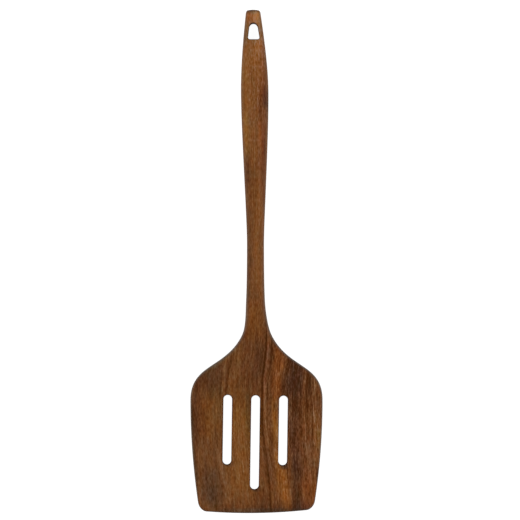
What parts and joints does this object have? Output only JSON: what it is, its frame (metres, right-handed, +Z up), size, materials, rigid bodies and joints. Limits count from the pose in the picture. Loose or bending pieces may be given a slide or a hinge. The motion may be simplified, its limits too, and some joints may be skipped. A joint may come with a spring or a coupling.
{
  "type": "slotted spatula",
  "caption": "Turner shaped from a single board: flat flared blade with long drain slots, slim rounded handle and a hole through its butt to hang it by.",
  "frame": {"origin": "on the table that it lies on, under the middle of its length and of its blade's width", "axes": "+Y along the handle from the blade to the butt, +Z up out of the side that faces the cook, X across the blade"},
  "size_m": [0.092, 0.35, 0.0135],
  "materials": {
    "oiled_wood": "oiled satin, figured dark brown hardwood"
  },
  "bodies": {
    "root": {"wooden_spatula": "oiled_wood"}
  },
  "joints": []
}
